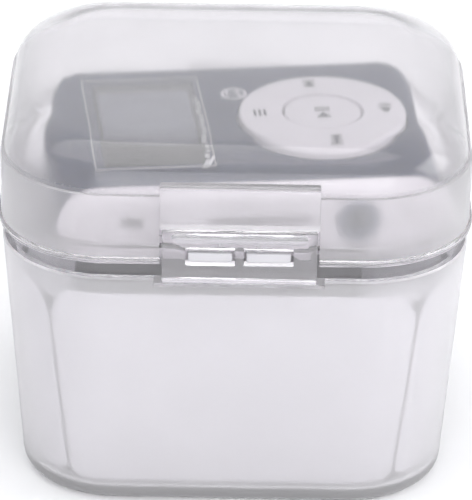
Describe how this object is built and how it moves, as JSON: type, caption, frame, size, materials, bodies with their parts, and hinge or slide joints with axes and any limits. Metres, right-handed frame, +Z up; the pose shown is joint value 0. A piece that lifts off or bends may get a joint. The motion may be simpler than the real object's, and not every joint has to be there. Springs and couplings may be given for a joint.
{
  "type": "digital audio player in display case",
  "caption": "Slim clip-on music player with a small screen and round control wheel, lying on a card insert in a hinged frosted plastic case.",
  "frame": {"origin": "centre of the flat underside of the case, on the surface it stands on", "axes": "+Z up, -Y towards the latch at the front of the case, +X to the right of a person facing the latch"},
  "size_m": [0.0606, 0.0595, 0.0507],
  "materials": {
    "frosted_case": "translucent frosted polypropylene, clear where the rim is polished",
    "card": "smooth white paperboard",
    "shell_metal": "dark navy brushed anodised aluminium",
    "white_plastic": "glossy white ABS",
    "clear_window": "clear acrylic",
    "clear_film": "clear peel-off protective film",
    "lcd_glass": "unlit grey LCD",
    "copper_flex": "amber flexible circuit",
    "circuit_board": "green solder mask",
    "chip_plastic": "black moulded epoxy",
    "plated_steel": "tin-plated steel",
    "spring_steel": "music wire",
    "dark_plastic": "black moulded connector plastic",
    "led_lens": "milky LED lens",
    "battery_foil": "pouch cell foil",
    "foam": "black foam tape",
    "clip_metal": "dark satin metal"
  },
  "bodies": {
    "case": {"case_base": "frosted_case", "carton_box": "card", "carton_tray": "card"},
    "lid": {"case_lid": "frosted_case"},
    "latch": {"latch_flap": "frosted_case"},
    "ring_carrier": {"ring_flange": "white_plastic"},
    "ring": {"control_ring": "white_plastic"},
    "play": {"play_button": "white_plastic"},
    "switch": {"switch_knob": "white_plastic"},
    "clip": {"clip_plate": "clip_metal"},
    "player": {"player_shell": "shell_metal", "front_cap": "white_plastic", "rear_cap": "white_plastic", "display_window": "clear_window", "screen_film": "clear_film", "lcd_panel": "lcd_glass", "lcd_frame": "white_plastic", "display_flex": "copper_flex", "main_board": "circuit_board", "controller_chip": "chip_plastic", "memory_chip": "chip_plastic", "card_socket": "plated_steel", "jack_socket": "dark_plastic", "usb_socket": "plated_steel", "switch_body": "plated_steel", "status_led": "led_lens", "battery": "battery_foil", "battery_tape": "foam", "clip_bracket": "plated_steel", "clip_pin": "plated_steel", "clip_spring": "spring_steel", "clip_nut_plate": "plated_steel", "key_dome_play": "plated_steel", "key_dome_menu": "plated_steel", "key_dome_volume": "plated_steel", "key_dome_previous": "plated_steel", "key_dome_next": "plated_steel", "clip_screw_front": "plated_steel", "clip_screw_rear": "plated_steel"}
  },
  "joints": [
    {"name": "lid_hinge", "type": "hinge", "parent": "case", "child": "lid", "pos_m": [0, 0.029, 0.0353], "axis": [-1, 0, 0], "range_deg": [0, 110]},
    {"name": "latch_flex", "type": "hinge", "parent": "lid", "child": "latch", "pos_m": [0.0006, -0.0275, 0.0413], "axis": [-1, 0, 0], "range_deg": [0, 25], "stiffness_Nm_per_rad": 0.004},
    {"name": "player_lift", "type": "slide", "parent": "case", "child": "player", "axis": [0, 0, 1], "range_m": [0, 0.003]},
    {"name": "ring_rock_sideways", "type": "hinge", "parent": "player", "child": "ring_carrier", "pos_m": [0.01102, -0.00252, 0.0435], "axis": [-0.1219, 0.9925, 0], "range_deg": [-2.5, 2.5], "stiffness_Nm_per_rad": 0.05},
    {"name": "ring_rock_endways", "type": "hinge", "parent": "ring_carrier", "child": "ring", "pos_m": [0.01102, -0.00252, 0.0435], "axis": [0.9925, 0.1219, 0], "range_deg": [-2.5, 2.5], "stiffness_Nm_per_rad": 0.05},
    {"name": "play_press", "type": "slide", "parent": "player", "child": "play", "axis": [0, 0, -1], "range_m": [0, 0.0004], "stiffness_N_per_m": 300},
    {"name": "power_slide", "type": "slide", "parent": "player", "child": "switch", "axis": [-0.9925, -0.1219, 0], "range_m": [0, 0.0028]},
    {"name": "clip_swing", "type": "hinge", "parent": "player", "child": "clip", "pos_m": [0.01549, -0.00197, 0.0316], "axis": [0.1219, -0.9925, 0], "range_deg": [0, 12], "stiffness_Nm_per_rad": 0.02}
  ]
}
